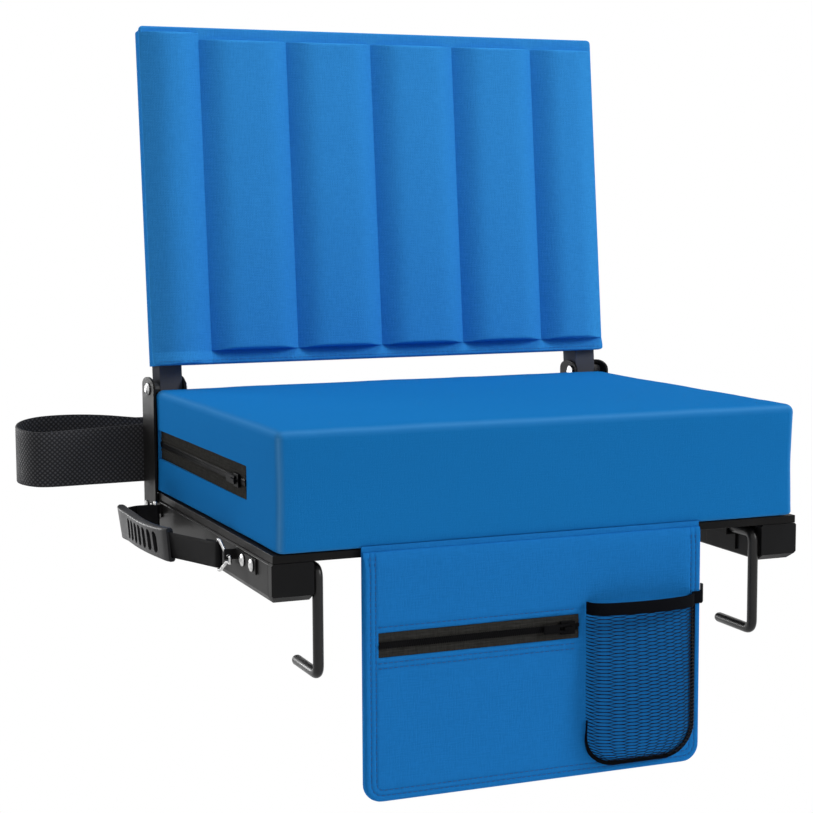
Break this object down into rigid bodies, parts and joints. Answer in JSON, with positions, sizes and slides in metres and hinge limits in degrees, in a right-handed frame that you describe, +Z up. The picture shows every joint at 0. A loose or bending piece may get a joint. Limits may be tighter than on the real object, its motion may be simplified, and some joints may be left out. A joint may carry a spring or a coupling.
{
  "type": "folding bleacher seat",
  "caption": "Padded stadium seat that hooks to a bench plank: foam cushion on tube rails, channel-quilted back that folds forward, zip pouch, mesh pocket, handle and strap.",
  "frame": {"origin": "middle of the seat on the bench plank's top, level with the flat bottoms of the two rails", "axes": "+X to the right seen from the front, +Y to the back, +Z up"},
  "size_m": [0.5497, 0.4513, 0.5881],
  "materials": {
    "blue_cloth": "woven polyester",
    "foam": "open-cell foam",
    "black_steel": "satin powder coat",
    "black_board": "dark-stained board",
    "black_plastic": "moulded",
    "black_webbing": "woven webbing",
    "black_net": "open knitted net",
    "zip_tape": "zip tape with coil",
    "bright_steel": "zinc plated",
    "nylon": "natural"
  },
  "bodies": {
    "seat": {"base_board": "black_board", "board_rivet_left_front": "bright_steel", "board_rivet_left_rear": "bright_steel", "board_rivet_right_front": "bright_steel", "board_rivet_right_rear": "bright_steel", "bracket_left": "black_steel", "bracket_right": "black_steel", "bracket_rivet_left_front": "bright_steel", "bracket_rivet_left_rear": "bright_steel", "bracket_rivet_right_front": "bright_steel", "bracket_rivet_right_rear": "bright_steel", "clip_rivet_front_1": "bright_steel", "clip_rivet_front_2": "bright_steel", "clip_rivet_rear_1": "bright_steel", "front_cap_left": "black_plastic", "front_cap_right": "black_plastic", "hook_saddle_left": "black_steel", "hook_saddle_right": "black_steel", "pivot_rivet_left": "bright_steel", "pivot_rivet_right": "bright_steel", "pivot_washer_left": "nylon", "pivot_washer_right": "nylon", "rail_left": "black_steel", "rail_right": "black_steel", "rear_cap_left": "black_plastic", "rear_cap_right": "black_plastic", "rear_cross_tube": "black_steel", "ring_clip_front": "black_steel", "ring_clip_rear": "black_steel", "seat_cover": "blue_cloth", "seat_foam": "foam", "shoulder_strap": "black_webbing", "side_zip_tape": "zip_tape", "strap_rivet_left": "black_steel", "strap_rivet_right": "black_steel"},
    "backrest": {"back_board": "black_board", "back_cover": "blue_cloth", "back_hoop": "black_steel", "back_lower_tube": "black_steel", "back_quilt": "blue_cloth", "back_rivet_lower_left": "bright_steel", "back_rivet_lower_right": "bright_steel", "back_rivet_top_left": "bright_steel", "back_rivet_top_right": "bright_steel"},
    "hook_left": {"bench_hook_left": "black_steel"},
    "hook_right": {"bench_hook_right": "black_steel"},
    "pouch": {"pouch_back_panel": "blue_cloth", "pouch_front_panel": "blue_cloth", "pouch_zip_tape": "zip_tape", "mesh_pocket": "black_net", "mesh_pocket_band": "black_webbing", "mesh_binding": "black_webbing"},
    "handle": {"handle_grip": "black_plastic", "handle_webbing": "black_webbing", "handle_ring_front": "bright_steel", "handle_ring_rear": "bright_steel"},
    "side_zip_slider": {"side_zip_slider": "black_plastic"},
    "side_zip_pull": {"side_zip_pull": "black_plastic"},
    "pouch_zip_slider": {"pouch_zip_slider": "black_plastic"},
    "pouch_zip_pull": {"pouch_zip_pull": "black_plastic"}
  },
  "joints": [
    {"name": "back_fold", "type": "hinge", "parent": "seat", "child": "backrest", "pos_m": [0, 0.175, 0.1241], "axis": [1, 0, 0], "range_deg": [0, 76], "deforming": ["back_quilt"]},
    {"name": "hook_left_fold", "type": "hinge", "parent": "seat", "child": "hook_left", "pos_m": [-0.1822, 0, 0.0225], "axis": [0, -1, 0], "range_deg": [0, 90]},
    {"name": "hook_right_fold", "type": "hinge", "parent": "seat", "child": "hook_right", "pos_m": [0.1822, 0, 0.0225], "axis": [0, 1, 0], "range_deg": [0, 90]},
    {"name": "pouch_flap", "type": "hinge", "parent": "seat", "child": "pouch", "pos_m": [0, -0.1639, 0.0376], "axis": [-1, 0, 0], "range_deg": [0, 120]},
    {"name": "handle_swing", "type": "hinge", "parent": "seat", "child": "handle", "pos_m": [-0.2255, 0, 0.0215], "axis": [0, 1, 0], "range_deg": [-20, 35]},
    {"name": "side_zip_run", "type": "slide", "parent": "seat", "child": "side_zip_slider", "axis": [0, 1, 0], "range_m": [0, 0.185]},
    {"name": "side_zip_pull_swing", "type": "hinge", "parent": "side_zip_slider", "child": "side_zip_pull", "pos_m": [-0.2179, -0.0702, 0.07735], "axis": [0, 0, 1], "range_deg": [0, 150]},
    {"name": "pouch_zip_run", "type": "slide", "parent": "pouch", "child": "pouch_zip_slider", "axis": [-1, 0, 0], "range_m": [0, 0.138]},
    {"name": "pouch_zip_pull_swing", "type": "hinge", "parent": "pouch_zip_slider", "child": "pouch_zip_pull", "pos_m": [0.0104, -0.172, -0.03465], "axis": [0, 0, 1], "range_deg": [0, 150]}
  ]
}
